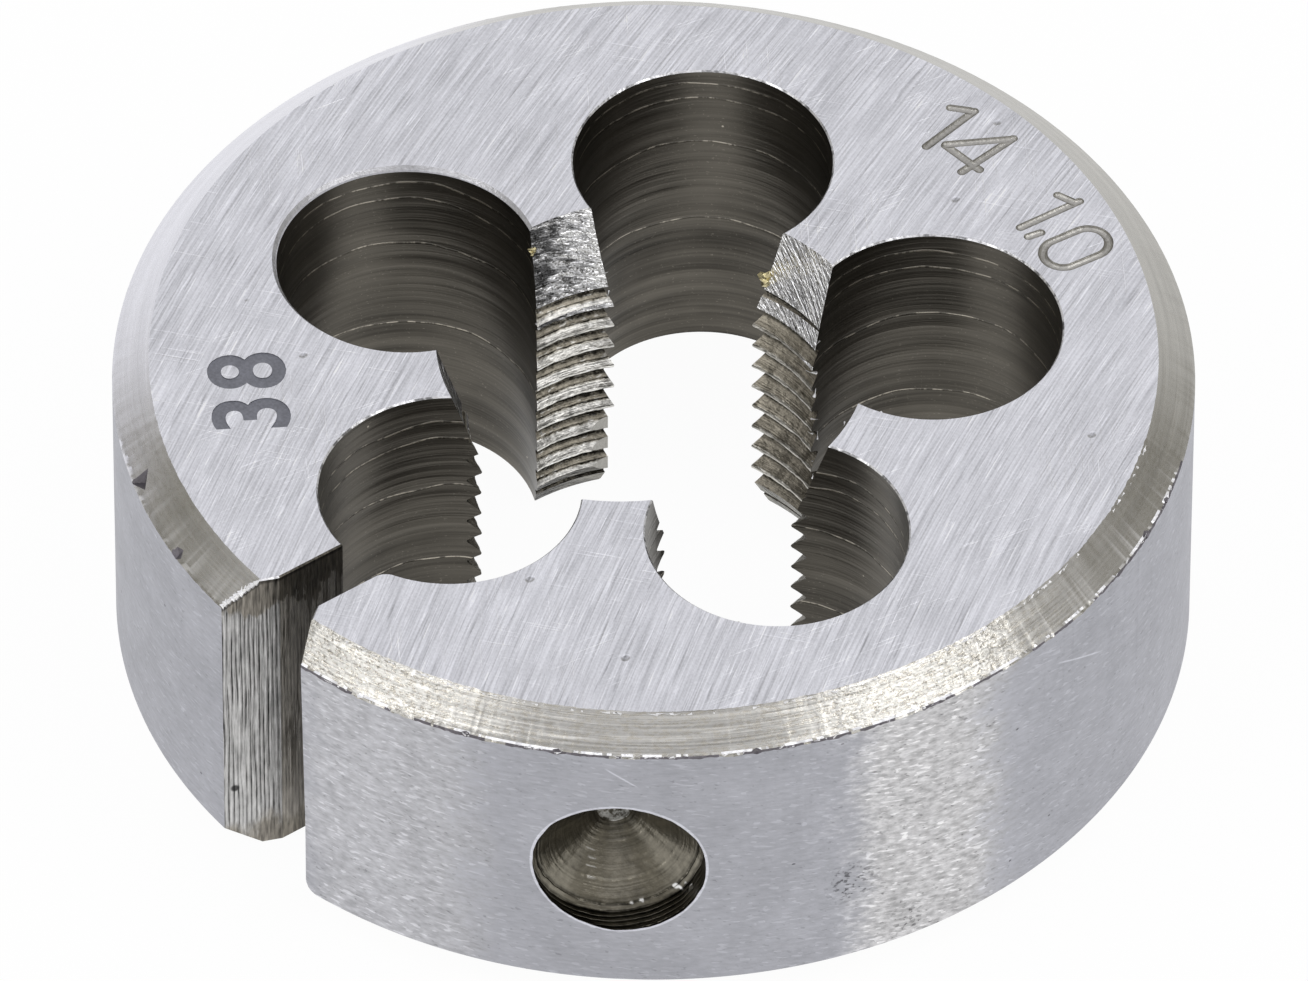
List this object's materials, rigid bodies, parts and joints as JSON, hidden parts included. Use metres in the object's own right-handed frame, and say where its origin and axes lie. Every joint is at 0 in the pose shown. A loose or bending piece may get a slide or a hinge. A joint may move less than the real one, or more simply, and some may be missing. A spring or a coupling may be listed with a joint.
{
  "type": "round threading die",
  "caption": "Round split threading die with chip holes round the thread, a skewed adjusting slot with a notch, and a screw dimple in its edge.",
  "frame": {"origin": "on the thread's axis, at the plain back face", "axes": "+Z along the thread's axis, out of the start face with the long lead; the adjusting slot opens towards -Y"},
  "size_m": [0.038, 0.0379, 0.013],
  "materials": {
    "tool_steel": "ground faces, turned rims, dark drilled holes"
  },
  "bodies": {
    "root": {"threading_die": "tool_steel"}
  },
  "joints": []
}
